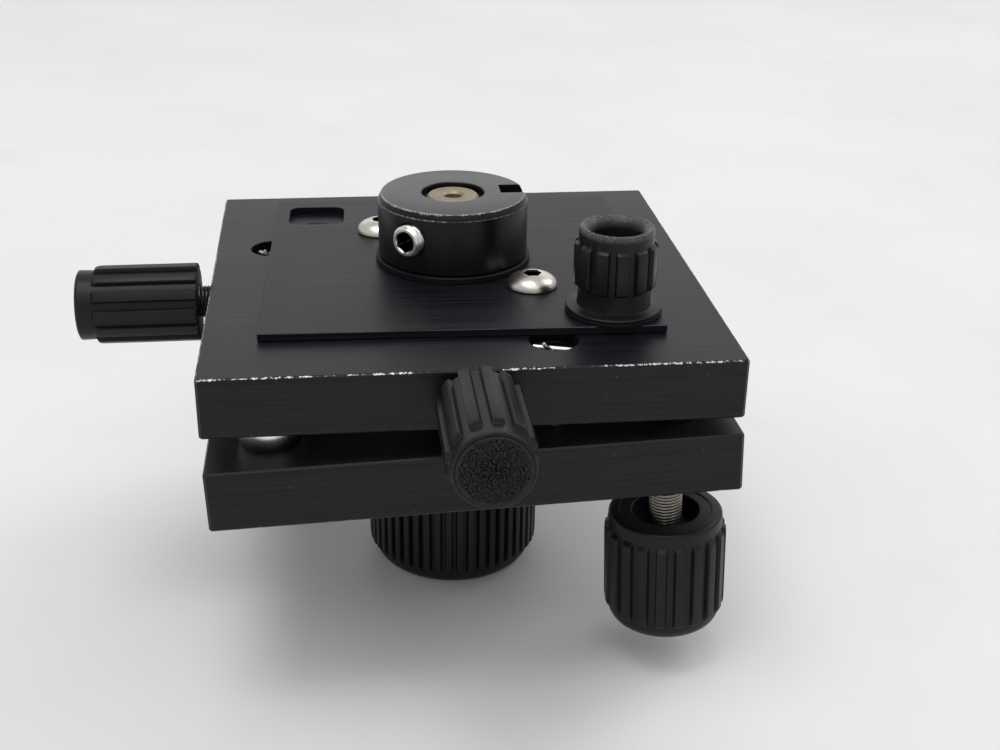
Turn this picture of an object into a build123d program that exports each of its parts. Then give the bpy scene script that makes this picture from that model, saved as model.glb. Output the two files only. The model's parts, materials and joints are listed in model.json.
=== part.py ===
from build123d import *
import os
from math import cos, radians

# Five-axis stage: an XY slide on a ball-pivoted tilt mount, with a turning spindle.
# Row frame: +Z up, +Y away from the front, origin at the foot of the spindle axis, on the surface
# the stage stands on. The upper plate is level. The lower plate hangs from it on a ball and two
# fine-pitch adjusters, held by two tension springs, and is modelled at a small tilt.
# All sizes are in millimetres.

os.makedirs("parts", exist_ok=True)

# ---- plates -------------------------------------------------------------------------------------
PLATE = 75.0                    # side of the two square plates
PLATE_T = 8.9                   # their thickness
PLATE_EDGE = 0.25               # broken edge
TOP_Z = 52.0                    # upper face of the upper plate above the standing surface
GAP = 4.9                       # gap between the plates at the ball
BALL_R = 5.0                    # pivot ball
CORNER = 28.5                   # ball and adjusters lie this far from the plates' centre lines
BASE_SHIFT = 0.6                # the lower plate hangs this far forward of the upper one
TILT_X, TILT_Y = -1.42, -2.16   # rest tilt of the lower plate about the ball, degrees
FIT = 0.05                      # radial clearance of a running fit
TOUCH = 0.02                    # gap left between faces that rest on each other and move
MOUNT_PCD, MOUNT_DEPTH = 60.0, 7.0      # four tapped holes under the lower plate
M4_R, M4_TAP_R = 2.0, 1.65

# ---- XY slide -----------------------------------------------------------------------------------
SLIDE_Y = 2.3                   # the slide is wound this far back from mid travel
COVER = 57.8                    # side of the square slide plate
COVER_TOP = 1.2                 # its upper face above the upper plate
COVER_LIFT = 0.03               # film of grease under it
COVER_SKEW = -1.6               # bolted down slightly skew, degrees
WINDOW_X, WINDOW_Y, WINDOW_R = 9.2, 8.8, 1.8    # openings in it for the lock screws
WINDOW_AT = (22.0, -20.9)                       # one's centre in the slide plate's own frame
POCKET_X, POCKET_Y, POCKET_D = 37.4, 42.4, 7.2  # pocket in the upper plate
OPENING_R = 10.0                # hole in the pocket's floor
BASE_OPENING_R = 11.0           # hole in the lower plate, around the spindle
RING_X, RING_Y = 32.1, 42.3     # outside of the cross-slide frame
RING_IN_X, RING_IN_Y = 27.1, 36.3               # its window
CARRIAGE_X, CARRIAGE_Y = 27.0, 31.0
LOCK_X, LOCK_Y = 21.4, 21.0     # lock positions from the plate's centre
SCREW_X, SCREW_Y = 10.9, 13.1   # slide plate screws from the spindle axis

# ---- lead screws, M5 x 0.5 ----------------------------------------------------------------------
LEAD_R, LEAD_Z = 2.5, -4.2      # radius, and axis below the upper face
LEAD_BUSH_R, LEAD_BUSH_L = 3.5, 10.0
NOSE_R, NECK_R, HEAD_R = 1.9, 1.2, 1.95         # end of the screw, held in a T slot
LIP, HEAD_T = 1.1, 1.2                          # slot lip, head thickness
SLIDE_WASHER_R, SLIDE_WASHER_T = 2.4, 0.5

# ---- small ribbed knobs -------------------------------------------------------------------------
KNOB_R, KNOB_ROOT, KNOB_L = 6.05, 5.35, 18.2
KNOB_RIBS, KNOB_RIB_W, KNOB_BAND = 12, 1.9, 2.4
CAP_R, CAP_T = 4.9, 0.8
KNOB_GAP_X, KNOB_GAP_Y = 2.1, 2.2               # drive knob to the plate's side, at rest
FLANGE_R = 7.05                                 # lock knob's flange and washer
LOCK_KNOB_TOP = 13.8
NUT_ACROSS, NUT_T, NUT_BORE_R = 6.2, 2.4, 3.74
LOCK_RIB_ANGLE = -120.4

# ---- hub and spindle ----------------------------------------------------------------------------
HUB_R, HUB_TOP = 11.65, 12.0
HUB_EDGE, HUB_EDGE_H = 0.5, 1.0                 # tapered rim: its width and height
RECESS_R, RECESS_D = 4.85, 1.2                  # recess around the spindle's end
NOTCH_X, NOTCH_Y, NOTCH_D = 7.4, (-1.1, 2.9), 2.2       # notch in the rim
WASHER_R, WASHER_T = 12.1, 1.0
SPINDLE_R, SPINDLE_DOWN = 4.1, 0.45             # its end lies this far below the hub's top
SPINDLE_BUSH_R, SPINDLE_BUSH_FOOT = 6.0, -8.2
CENTRE_R, CENTRE_D = 1.4, 8.0                   # hole in the spindle's end
SET_ANGLE, SET_Z, SET_R = -129.0, 7.45, 2.5     # M5 set screw in the hub
SET_OUT = 1.25                                  # it stands this far out of the hub
BIG_KNOB_R, BIG_KNOB_ROOT, BIG_KNOB_H = 14.2, 13.3, 18.0
BIG_KNOB_RIBS = 48
SPINDLE_FOOT, GRUB_Z = 4.0, 12.0                # above the standing surface

# ---- adjusters, M5 x 0.5 ------------------------------------------------------------------------
ADJ_R, ADJ_BUSH_R = 2.5, 4.5
TIP_R = 1.8
PAD_R, PAD_T = 3.5, 2.0
ADJ_KNOB_R, ADJ_KNOB_ROOT, ADJ_KNOB_L = 9.2, 8.5, 18.35
ADJ_KNOB_DROP = 16.9                            # knob's top below the tip ball's centre
ADJ_RIBS = 20
CUP_R, CUP_D = 5.0, 2.4

# ---- tension springs between the plates ---------------------------------------------------------
SPRING_A, SPRING_B = 11.6, 28.5                 # hole centres from the plates' centre lines
SPRING_HOLE_R, SPRING_BORE_R, SPRING_STEP = 3.5, 2.6, 1.9
COIL_R, WIRE_R, LOOP_R = 2.1, 0.3, 1.6
PIN_R, PIN_L = 0.5, 6.0
UPPER_PIN_Z = PIN_R - SPRING_STEP               # pins' axes below each plate's upper face
LOWER_PIN_Z = SPRING_STEP - PLATE_T - PIN_R

MIN, MID = Align.MIN, Align.CENTER
ADJUSTERS = {"front": (CORNER, -CORNER), "rear": (-CORNER, CORNER)}
SPRINGS = {"front": (SPRING_A, -SPRING_B, -18.0), "left": (-SPRING_B, SPRING_A, -38.0)}

# ---- frames -------------------------------------------------------------------------------------
STAGE = Pos(0, -SLIDE_Y, TOP_Z)         # centre of the upper plate's upper face
AXIS = Pos(0, 0, TOP_Z)                 # spindle axis at the same height
BALL_AT = STAGE * Pos(-CORNER, -CORNER, -PLATE_T - GAP / 2)
BASE = BALL_AT * Rot(TILT_X, TILT_Y, 0) * Pos(CORNER, CORNER - BASE_SHIFT, -GAP / 2)
LOCK = STAGE * Pos(LOCK_X, -LOCK_Y, 0)
# on each drive's axis at the plate's side, z pointing outwards
DRIVES = {
    "x": STAGE * Pos(-PLATE / 2, 0, LEAD_Z) * Rot(0, -90, 0),
    "y": STAGE * Pos(0, -PLATE / 2, LEAD_Z) * Rot(90, 0, 0),
}
KNOB_GAPS = {"x": KNOB_GAP_X, "y": KNOB_GAP_Y}


def tube(radius, height, z=0.0, bore=0.0):
    """A cylinder standing on z, with an optional bore right through."""
    body = Pos(0, 0, z) * Cylinder(radius, height, align=(MID, MID, MIN))
    if bore:
        body -= Pos(0, 0, z - 1) * Cylinder(bore, height + 2, align=(MID, MID, MIN))
    return body


def block(x, y, z, bottom=0.0):
    return Pos(0, 0, bottom) * Box(x, y, z, align=(MID, MID, MIN))


def between(low, high):
    """A box between two corners."""
    size = [b - a for a, b in zip(low, high)]
    return Pos(*low) * Box(*size, align=(MIN, MIN, MIN))


def rounded(x, y, z, radius, bottom=0.0):
    """A block with its upright edges rounded."""
    return fillet(block(x, y, z, bottom).edges().filter_by(Axis.Z), radius)


def hexagon(across, height, z):
    return Pos(0, 0, z) * extrude(RegularPolygon(across / 2, 6, major_radius=False), height)


def top_edge(body):
    return body.edges().sort_by(Axis.Z)[-1]


def bottom_edge(body):
    return body.edges().sort_by(Axis.Z)[0]


def join(shapes):
    total = shapes[0]
    for shape in shapes[1:]:
        total += shape
    return total


def ribs_between(root, outer, count, low, high, width):
    """Straight ribs standing on a cylinder, with rounded tops."""
    depth = outer - root + 0.6
    rib = Pos(outer - depth / 2, 0, (low + high) / 2) * Box(depth, width, high - low)
    whole = join([Rot(0, 0, 360 * i / count) * rib for i in range(count)])
    return whole & tube(outer, high - low, low)


# ---- the upper plate and what is fixed in it ------------------------------------------------------
def top_plate():
    plate = chamfer(block(PLATE, PLATE, PLATE_T, -PLATE_T).edges(), PLATE_EDGE)
    plate -= rounded(POCKET_X, POCKET_Y, POCKET_D + 1, 2.0, -POCKET_D)
    plate -= tube(OPENING_R, PLATE_T, -PLATE_T - 1)
    for x, y, yaw in SPRINGS.values():
        plate -= Pos(x, y, 0) * tube(SPRING_HOLE_R, SPRING_STEP + 1, -SPRING_STEP)
        plate -= Pos(x, y, 0) * tube(SPRING_BORE_R, PLATE_T + 2, -PLATE_T - 1)
    for side in (1, -1):
        plate -= Pos(side * LOCK_X, -side * LOCK_Y, 0) * tube(M4_R + FIT, PLATE_T + 2, -PLATE_T - 1)
    for x, y in ADJUSTERS.values():
        plate -= Pos(x, y, 0) * tube(PAD_R, PAD_T + 1, -PLATE_T - 1)
    plate -= Pos(-CORNER, -CORNER, -PLATE_T - GAP / 2) * Sphere(BALL_R + FIT)
    plate = STAGE * plate
    for drive in DRIVES.values():
        plate -= drive * tube(LEAD_BUSH_R, LEAD_BUSH_L + 1, -LEAD_BUSH_L)
        plate -= drive * tube(LEAD_R + 0.2, 20, -20)
    return plate


def adjuster_pads():
    """Hard discs let into the underside, one over each adjuster's ball tip."""
    return STAGE * join([Pos(x, y, 0) * tube(PAD_R, PAD_T, -PLATE_T) for x, y in ADJUSTERS.values()])


def lead_bush(side):
    return DRIVES[side] * tube(LEAD_BUSH_R, LEAD_BUSH_L, -LEAD_BUSH_L, bore=LEAD_R + FIT)


def spring_pin(x, y, z, yaw):
    return Pos(x, y, z) * Rot(0, 0, yaw) * Rot(0, 90, 0) * Cylinder(PIN_R, PIN_L)


def upper_spring_pins():
    return STAGE * join([spring_pin(x, y, UPPER_PIN_Z, yaw) for x, y, yaw in SPRINGS.values()])


def tilt_spring(which):
    """Extension spring hooked on both plates' pins: close coil with a loop at each end."""
    x, y, yaw = SPRINGS[which]
    upper = (STAGE * Pos(x, y, UPPER_PIN_Z)).position
    lower = (BASE * Pos(x, y, LOWER_PIN_Z)).position
    along = upper - lower
    length = along.length
    pin_way = Vector(1, 0, 0).rotate(Axis.Z, yaw)
    frame = Plane(origin=lower, x_dir=pin_way, z_dir=along).location
    reach = LOOP_R - WIRE_R - PIN_R - FIT           # pin's axis to loop's centre
    coil_low = reach + LOOP_R + WIRE_R - 0.1
    coil_high = length - coil_low
    spring = tube(COIL_R, coil_high - coil_low, coil_low, bore=COIL_R - 2 * WIRE_R)
    for z in (coil_low, coil_high - 0.5):
        spring += tube(COIL_R, 0.5, z)
    for z in (reach, length - reach):
        spring += Pos(0, 0, z) * Rot(0, 90, 0) * Torus(LOOP_R, WIRE_R)
    return frame * spring


# ---- the lower plate and what is fixed in it ------------------------------------------------------
def base_plate():
    plate = chamfer(block(PLATE, PLATE, PLATE_T, -PLATE_T).edges(), PLATE_EDGE)
    plate -= tube(BASE_OPENING_R, PLATE_T + 2, -PLATE_T - 1)
    for x, y, yaw in SPRINGS.values():
        plate -= Pos(x, y, -PLATE_T) * tube(SPRING_HOLE_R, SPRING_STEP + 1, -1)
        plate -= Pos(x, y, 0) * tube(SPRING_BORE_R, PLATE_T + 2, -PLATE_T - 1)
    for x, y in ADJUSTERS.values():
        plate -= Pos(x, y, 0) * tube(ADJ_BUSH_R, PLATE_T + 2, -PLATE_T - 1)
    plate -= Pos(-CORNER, BASE_SHIFT - CORNER, GAP / 2) * Sphere(BALL_R + FIT)
    hole = tube(M4_TAP_R, MOUNT_DEPTH + 1, -PLATE_T - 1)
    for place in PolarLocations(MOUNT_PCD / 2, 4):
        plate -= place * hole
    return BASE * plate


def adjuster_bush(which):
    x, y = ADJUSTERS[which]
    return BASE * Pos(x, y, 0) * tube(ADJ_BUSH_R, PLATE_T, -PLATE_T, bore=ADJ_R + FIT)


def lower_spring_pins():
    return BASE * join([spring_pin(x, y, LOWER_PIN_Z, yaw) for x, y, yaw in SPRINGS.values()])


# ---- pivot and adjusters ----------------------------------------------------------------------------
def pivot_ball():
    return BALL_AT * Sphere(BALL_R)


def tip_height(which):
    """Tip ball's centre above the lower plate's face, with the ball touching its pad."""
    x, y = ADJUSTERS[which]
    face = (BASE * Pos(x, y, 0)).position.Z
    lean = cos(radians(TILT_X)) * cos(radians(TILT_Y))
    return (TOP_Z - PLATE_T - TOUCH - TIP_R - face) / lean


def adjuster_place(which):
    """Frame at the tip ball's centre, z along the adjuster's axis."""
    x, y = ADJUSTERS[which]
    return BASE * Pos(x, y, tip_height(which))


def adjuster_tip(which):
    return adjuster_place(which) * Sphere(TIP_R)


def adjuster_screw(which):
    foot = 4.0 - ADJ_KNOB_DROP - ADJ_KNOB_L
    rod = tube(ADJ_R, -0.3 - foot, foot)
    rod = chamfer(top_edge(rod), 0.3)
    rod -= Sphere(TIP_R + FIT)
    return adjuster_place(which) * rod


def adjuster_knob(which):
    top = -ADJ_KNOB_DROP
    foot = top - ADJ_KNOB_L
    body = tube(ADJ_KNOB_ROOT, ADJ_KNOB_L, foot)
    body = fillet(bottom_edge(body), 2.2)
    body = fillet(top_edge(body), 0.6)
    body += ribs_between(ADJ_KNOB_ROOT, ADJ_KNOB_R, ADJ_RIBS, foot + 2.6, top - 2.3, 1.5)
    body -= tube(CUP_R, CUP_D + 1, top - CUP_D)
    body -= tube(ADJ_R, ADJ_KNOB_L, foot + 4.0)
    return adjuster_place(which) * body


# ---- XY slide ---------------------------------------------------------------------------------------
def cross_slide():
    """Frame that slides along X in the pocket and guides the carriage along Y."""
    low, high = FIT - POCKET_D, -0.1
    ring = rounded(RING_X, RING_Y, high - low, 1.9, low)
    ring -= block(RING_IN_X, RING_IN_Y, POCKET_D + 2, -POCKET_D - 1)
    # open-topped T slot in the left wall for the X screw's head
    left = -RING_X / 2
    neck, head = NECK_R + FIT, HEAD_R + 0.15
    ring -= between((left - 1, -neck, LEAD_Z - neck), (left + LIP + 0.1, neck, 1))
    ring -= between((left + LIP, -head, LEAD_Z - head), (left + 4, head, 1))
    # the Y screw's nose passes through the front wall
    ring -= between((-4.2, -RING_Y / 2 - 1, LEAD_Z - 2.1), (4.2, -RING_IN_Y / 2 + 1, LEAD_Z + 2.1))
    return STAGE * ring


def carriage():
    """Block that slides along Y in the cross-slide and carries the slide plate and spindle."""
    low = FIT - POCKET_D
    body = block(CARRIAGE_X, CARRIAGE_Y, COVER_LIFT - low, low)
    body -= tube(SPINDLE_BUSH_R, POCKET_D + 2, -POCKET_D - 1)
    for side in (1, -1):
        body -= Pos(side * SCREW_X, -side * SCREW_Y, 0) * tube(M4_R, 7, -6.0)
    # T slot across the front face: the Y screw's head drives the carriage but lets it cross
    left, front = -CARRIAGE_X / 2 - 1, -CARRIAGE_Y / 2
    neck, head = NECK_R + 0.1, HEAD_R + 0.15
    body -= between((left, front - 1, LEAD_Z - neck), (4.8, front + LIP + 0.2, LEAD_Z + neck))
    body -= between((left, front + LIP + 0.1, LEAD_Z - head), (4.8, front + 2.8, LEAD_Z + head))
    return AXIS * body


def slide_plate():
    plate = block(COVER, COVER, COVER_TOP - COVER_LIFT, COVER_LIFT)
    plate = chamfer(plate.faces().sort_by(Axis.Z)[-1].edges(), 0.1)
    window = rounded(WINDOW_X, WINDOW_Y, 4, WINDOW_R, -1)
    for side in (1, -1):
        plate -= Pos(side * WINDOW_AT[0], side * WINDOW_AT[1], 0) * window
    plate = Rot(0, 0, COVER_SKEW) * plate
    plate -= tube(SPINDLE_BUSH_R + FIT, 4, -1)
    for side in (1, -1):
        plate -= Pos(side * SCREW_X, -side * SCREW_Y, 0) * tube(M4_R + 0.6, 4, -1)
    return AXIS * plate


def slide_plate_screws():
    """M4 button-head screws."""
    head = Pos(0, 0, -2.2) * Sphere(4.4) & tube(3.8, 2.2)
    head -= hexagon(2.5, 2, 1.0)
    screw = Pos(0, 0, COVER_TOP) * head + tube(M4_R, 6.0 + COVER_TOP, -6.0)
    return AXIS * join([Pos(s * SCREW_X, -s * SCREW_Y, 0) * screw for s in (1, -1)])


def spindle_bush():
    length = COVER_TOP - SPINDLE_BUSH_FOOT
    return AXIS * tube(SPINDLE_BUSH_R, length, SPINDLE_BUSH_FOOT, bore=SPINDLE_R + FIT)


def thrust_washer():
    return AXIS * tube(WASHER_R, WASHER_T, COVER_TOP, bore=SPINDLE_R + 0.1)


# ---- drives -------------------------------------------------------------------------------------------
def slot_face(side):
    """Depth below the plate's side of the slotted face that the screw's shoulder drives."""
    if side == "x":
        return (PLATE - RING_X) / 2
    return (PLATE - CARRIAGE_Y) / 2 + SLIDE_Y


def drive_screw(side):
    """Lead screw: thread, plain nose, then a necked head held in the T slot."""
    face = -slot_face(side)
    shoulder = face + (0.1 if side == "x" else SLIDE_WASHER_T + 2 * FIT - 0.03)
    thread_end = shoulder + (7.9 if side == "x" else 11.2)
    head = face - LIP - (0.05 if side == "x" else 0.15)
    end = KNOB_GAPS[side] + 12.0
    screw = tube(LEAD_R, end - thread_end, thread_end)
    screw += tube(NOSE_R, thread_end - shoulder, shoulder)
    screw += tube(NECK_R, shoulder - head, head)
    screw += tube(HEAD_R, HEAD_T, head - HEAD_T)
    return DRIVES[side] * screw


def y_slide_washer():
    """Washer between the Y screw's shoulder and the carriage: it follows in Y but does not turn."""
    face = -slot_face("y")
    return DRIVES["y"] * tube(SLIDE_WASHER_R, SLIDE_WASHER_T, face + FIT, bore=NECK_R + FIT)


def drive_knob(side):
    body = tube(KNOB_ROOT, KNOB_L)
    body = chamfer(body.edges().sort_by(Axis.Z)[-1], 0.2)
    body += ribs_between(KNOB_ROOT, KNOB_R, KNOB_RIBS, 0.3, KNOB_L - KNOB_BAND, KNOB_RIB_W)
    body -= tube(LEAD_R, 13, -1)
    body -= tube(CAP_R, CAP_T + 1, KNOB_L - CAP_T)
    return DRIVES[side] * Pos(0, 0, KNOB_GAPS[side]) * body


def drive_cap(side):
    cap = tube(CAP_R, CAP_T + 0.1, KNOB_L - CAP_T)
    return DRIVES[side] * Pos(0, 0, KNOB_GAPS[side]) * cap


# ---- lock -----------------------------------------------------------------------------------------------
def lock_washer():
    return LOCK * tube(FLANGE_R, 0.5, COVER_TOP + TOUCH, bore=M4_R + 0.1)


def lock_screw():
    return LOCK * tube(M4_R, 16.6, -7.9)


def lock_nut():
    return LOCK * (hexagon(NUT_ACROSS, NUT_T, 5.6) - tube(M4_R, 20, -5))


def lock_knob():
    low = COVER_TOP + 0.5 + 2 * TOUCH
    body = tube(KNOB_ROOT, LOCK_KNOB_TOP - low, low)
    body = chamfer(top_edge(body), 0.3)
    body += tube(FLANGE_R, 0.6, low)
    body += Rot(0, 0, LOCK_RIB_ANGLE) * ribs_between(KNOB_ROOT, KNOB_R, KNOB_RIBS, 5.3, 11.9, KNOB_RIB_W)
    body -= tube(NUT_BORE_R, 20, 5.6)
    body -= tube(M4_R, 20, 0)
    return LOCK * body


# ---- spindle ----------------------------------------------------------------------------------------------
def set_screw_place():
    """Frame on the set screw's axis at the spindle's skin, z pointing out of the hub."""
    return Pos(0, 0, SET_Z) * Rot(0, 0, SET_ANGLE) * Pos(SPINDLE_R, 0, 0) * Rot(0, 90, 0)


def hub():
    low = COVER_TOP + WASHER_T + TOUCH
    shoulder = HUB_TOP - HUB_EDGE_H
    body = tube(HUB_R, shoulder - low, low)
    body += Pos(0, 0, shoulder) * Cone(HUB_R, HUB_R - HUB_EDGE, HUB_EDGE_H, align=(MID, MID, MIN))
    body -= tube(SPINDLE_R, 20, 0)
    body -= tube(RECESS_R, RECESS_D + 1, HUB_TOP - RECESS_D)
    body -= between((NOTCH_X, NOTCH_Y[0], HUB_TOP - NOTCH_D), (HUB_R + 1, NOTCH_Y[1], HUB_TOP + 1))
    body -= set_screw_place() * tube(SET_R, 12)
    return AXIS * body


def hub_set_screw():
    length = HUB_R + SET_OUT - SPINDLE_R
    screw = chamfer(top_edge(tube(SET_R, length)), 0.4)
    screw -= hexagon(2.5, 3, length - 2.5)
    return AXIS * set_screw_place() * screw


def spindle():
    height = TOP_Z + HUB_TOP - SPINDLE_DOWN
    rod = tube(SPINDLE_R, height - SPINDLE_FOOT, SPINDLE_FOOT)
    rod -= tube(CENTRE_R, CENTRE_D + 1, height - CENTRE_D)
    return rod


def spindle_clip():
    return AXIS * tube(SPINDLE_R + 1.9, 1.0, SPINDLE_BUSH_FOOT - FIT - 1.0, bore=SPINDLE_R)


def spindle_knob():
    body = tube(BIG_KNOB_ROOT, BIG_KNOB_H)
    body = fillet(bottom_edge(body), 2.4)
    body = fillet(top_edge(body), 1.0)
    body += ribs_between(BIG_KNOB_ROOT, BIG_KNOB_R, BIG_KNOB_RIBS, 2.6, BIG_KNOB_H - 1.8, 1.0)
    body -= tube(SPINDLE_R, 20, SPINDLE_FOOT)
    body -= Pos(0, SPINDLE_R, GRUB_Z) * Rot(-90, 0, 0) * tube(M4_R, 12, -1)
    return body


def spindle_knob_grub():
    screw = tube(M4_R, 8.0) - hexagon(2.0, 3, 6.0)
    return Pos(0, SPINDLE_R, GRUB_Z) * Rot(-90, 0, 0) * screw


PIECES = {
    "top_plate": top_plate(),
    "adjuster_pads": adjuster_pads(),
    "upper_spring_pins": upper_spring_pins(),
    "base_plate": base_plate(),
    "lower_spring_pins": lower_spring_pins(),
    "pivot_ball": pivot_ball(),
    "cross_slide": cross_slide(),
    "carriage": carriage(),
    "slide_plate": slide_plate(),
    "slide_plate_screws": slide_plate_screws(),
    "spindle_bush": spindle_bush(),
    "thrust_washer": thrust_washer(),
    "y_slide_washer": y_slide_washer(),
    "lock_washer": lock_washer(),
    "lock_screw": lock_screw(),
    "lock_nut": lock_nut(),
    "lock_knob": lock_knob(),
    "hub": hub(),
    "hub_set_screw": hub_set_screw(),
    "spindle": spindle(),
    "spindle_clip": spindle_clip(),
    "spindle_knob": spindle_knob(),
    "spindle_knob_grub": spindle_knob_grub(),
}
for which in SPRINGS:
    PIECES[f"{which}_tilt_spring"] = tilt_spring(which)
for which in ADJUSTERS:
    PIECES[f"{which}_adjuster_bush"] = adjuster_bush(which)
    PIECES[f"{which}_adjuster_tip"] = adjuster_tip(which)
    PIECES[f"{which}_adjuster_screw"] = adjuster_screw(which)
    PIECES[f"{which}_adjuster_knob"] = adjuster_knob(which)
for side in DRIVES:
    PIECES[f"{side}_lead_bush"] = lead_bush(side)
    PIECES[f"{side}_drive_screw"] = drive_screw(side)
    PIECES[f"{side}_drive_knob"] = drive_knob(side)
    PIECES[f"{side}_drive_cap"] = drive_cap(side)

for name, piece in PIECES.items():
    piece.label = name
    export_step(piece, f"parts/{name}.step")
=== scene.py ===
"""Looks for the small black positioning stage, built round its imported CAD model. Metres; local work in mm."""

import json
import math
import bpy
from mathutils import Euler, Matrix, Vector, noise


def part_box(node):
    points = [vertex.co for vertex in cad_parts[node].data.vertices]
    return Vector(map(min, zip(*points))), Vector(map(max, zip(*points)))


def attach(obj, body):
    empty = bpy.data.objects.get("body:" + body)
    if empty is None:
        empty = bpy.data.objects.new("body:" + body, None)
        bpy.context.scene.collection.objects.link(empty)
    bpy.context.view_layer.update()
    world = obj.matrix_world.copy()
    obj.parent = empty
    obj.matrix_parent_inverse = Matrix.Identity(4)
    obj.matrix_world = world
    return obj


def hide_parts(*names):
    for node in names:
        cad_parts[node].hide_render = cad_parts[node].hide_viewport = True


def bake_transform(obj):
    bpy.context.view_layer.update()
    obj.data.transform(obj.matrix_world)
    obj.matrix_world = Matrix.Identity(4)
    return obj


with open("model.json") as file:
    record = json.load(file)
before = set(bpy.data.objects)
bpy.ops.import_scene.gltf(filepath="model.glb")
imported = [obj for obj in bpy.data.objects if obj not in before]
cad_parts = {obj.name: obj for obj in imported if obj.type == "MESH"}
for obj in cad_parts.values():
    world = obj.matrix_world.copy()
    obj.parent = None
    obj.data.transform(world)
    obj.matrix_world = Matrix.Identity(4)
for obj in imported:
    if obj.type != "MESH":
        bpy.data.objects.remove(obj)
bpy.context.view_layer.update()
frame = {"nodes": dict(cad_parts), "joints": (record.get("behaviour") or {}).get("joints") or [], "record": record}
MM = 0.001
TAU = math.tau


# ---- places, read from the frame ----------------------------------------------------------------------
def mid(node):
    low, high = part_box(node)
    return (low + high) / 2 / MM


def span(node, keep=None):
    """Low and high corners of a CAD node, or of its vertices that pass a test, in mm."""
    points = [v.co / MM for v in frame["nodes"][node].data.vertices]
    points = [p for p in points if keep is None or keep(p)]
    return tuple(Vector([pick(p[i] for p in points) for i in range(3)]) for pick in (min, max))


def joint(name):
    return next(j for j in frame["joints"] if j["name"] == name)


def at(x, y, z, turn=(0, 0, 0)):
    return Matrix.Translation((x, y, z)) @ Euler([math.radians(a) for a in turn]).to_matrix().to_4x4()


plate_low, plate_high = span("top_plate")
PLATE = plate_high.x - plate_low.x
PLATE_T = plate_high.z - plate_low.z
STAGE = at(0, mid("top_plate").y, plate_high.z)
AXIS = at(0, 0, plate_high.z)
normal = Vector(joint("front_adjuster_travel")["axis"])
tilt_y = math.asin(normal.x)
tilt_x = math.atan2(-normal.y, normal.z)
LEAN = Matrix.Rotation(tilt_x, 4, "X") @ Matrix.Rotation(tilt_y, 4, "Y")
base_holes = next(m for m in frame["record"]["mounts"] if m["name"] == "base_holes")
BASE = Matrix.Translation(Vector(base_holes["pos_m"]) / MM) @ LEAN @ at(0, 0, PLATE_T)


# ---- mesh building ------------------------------------------------------------------------------------
def piece(name, data, place, body, material, replaces=(), sharp=35):
    """Turns (points, faces) in local mm into a piece that rides on a body."""
    points, faces = data
    mesh = bpy.data.meshes.new(name)
    mesh.from_pydata([Vector(p) * MM for p in points], [], faces)
    mesh.validate()
    ob = bpy.data.objects.new(name, mesh)
    bpy.context.scene.collection.objects.link(ob)
    return dress(ob, place, body, material, replaces, sharp)


def dress(ob, place, body, material, replaces=(), sharp=35):
    mesh = ob.data
    mesh.materials.clear()
    mesh.materials.append(material)
    mesh.shade_smooth()
    mesh.set_sharp_from_angle(angle=math.radians(sharp))
    world = place.copy()
    world.translation = world.translation * MM
    ob.matrix_world = world
    if body:
        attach(ob, body)
    if replaces:
        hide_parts(*replaces)
    return ob


def merged(*parts):
    """Joins (points, faces) pairs, each optionally with a matrix."""
    points, faces = [], []
    for part in parts:
        data, place = part if isinstance(part[1], Matrix) else (part, None)
        shift = len(points)
        points += [place @ Vector(p) if place else p for p in data[0]]
        faces += [[i + shift for i in f] for f in data[1]]
    return points, faces


def rings(loops, closed_ends=True):
    """Skins a list of rings of equal length; ends are capped unless the last joins the first."""
    count = len(loops[0])
    points = [p for loop in loops for p in loop]
    faces = []
    for i in range(len(loops) - 1):
        for j in range(count):
            k = (j + 1) % count
            faces.append([i * count + j, i * count + k, (i + 1) * count + k, (i + 1) * count + j])
    if closed_ends:
        faces.append(list(range(count))[::-1])
        last = (len(loops) - 1) * count
        faces.append([last + j for j in range(count)])
    return points, faces


def lathe(profile, segments=96):
    """Revolves (radius, z) points about Z. A profile that ends where it starts makes a ring."""
    loops = []
    for radius, z in profile:
        radius = max(radius, 1e-4)
        loops.append([(radius * math.cos(TAU * i / segments), radius * math.sin(TAU * i / segments), z)
                      for i in range(segments)])
    return rings(loops, closed_ends=profile[0] != profile[-1])


def arc(centre_r, centre_z, radius, start, end, steps=6):
    """Profile points on a quarter or other arc, angles in degrees from +r towards +z."""
    turn = [math.radians(start + (end - start) * i / steps) for i in range(steps + 1)]
    return [(centre_r + radius * math.cos(a), centre_z + radius * math.sin(a)) for a in turn]


def ribbed(outline, ribs, rib_width, height, levels, phase=0.0, steps=5):
    """A knob's skin. outline is (radius, z, k): k is how far the ribs stand out there, 0 to 1."""
    half = rib_width / 2
    pitch = TAU / ribs
    angles = []
    for i in range(ribs):
        centre = phase + i * pitch
        reach = half / levels
        for s in (-1.18, -1.0, -0.86, -0.6, -0.2, 0.2, 0.6, 0.86, 1.0, 1.18):
            angles.append((centre + s * reach, min(1.0, max(0.0, (1.18 - abs(s)) / 0.25)) ** 0.8))
        gap = pitch - 2.36 * reach
        for s in range(1, steps):
            angles.append((centre + 1.18 * reach + gap * s / steps, 0.0))
    loops = []
    for radius, z, k in outline:
        loops.append([((radius + height * k * h) * math.cos(a), (radius + height * k * h) * math.sin(a), z)
                      for a, h in angles])
    return rings(loops)


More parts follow.
